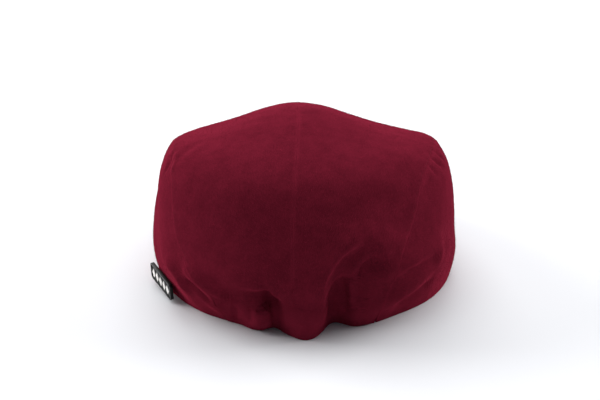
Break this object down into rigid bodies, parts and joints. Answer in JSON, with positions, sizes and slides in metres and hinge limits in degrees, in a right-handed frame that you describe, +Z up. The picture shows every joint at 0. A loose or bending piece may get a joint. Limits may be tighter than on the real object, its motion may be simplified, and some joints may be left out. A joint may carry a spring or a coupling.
{
  "type": "flat cap",
  "caption": "Soft wool flat cap with a rounded crown of panels, an elasticated gathered back, a covered peak under the front edge and a small metal badge on the left flank.",
  "frame": {"origin": "under the middle of the cap's box, on the surface it rests on", "axes": "+Z up from the hem to the top of the crown, -Y towards the peak, +X towards the wearer's left"},
  "size_m": [0.214, 0.2712, 0.1229],
  "materials": {
    "wool": "burgundy brushed wool with a fine twill and a soft nap",
    "badge_metal": "aged dark metal with a rubbed bright relief"
  },
  "bodies": {
    "root": {"top_panel_left": "wool", "top_panel_right": "wool", "side_panel_left": "wool", "side_panel_right": "wool", "back_band": "wool", "peak": "wool", "badge": "badge_metal"}
  },
  "joints": []
}
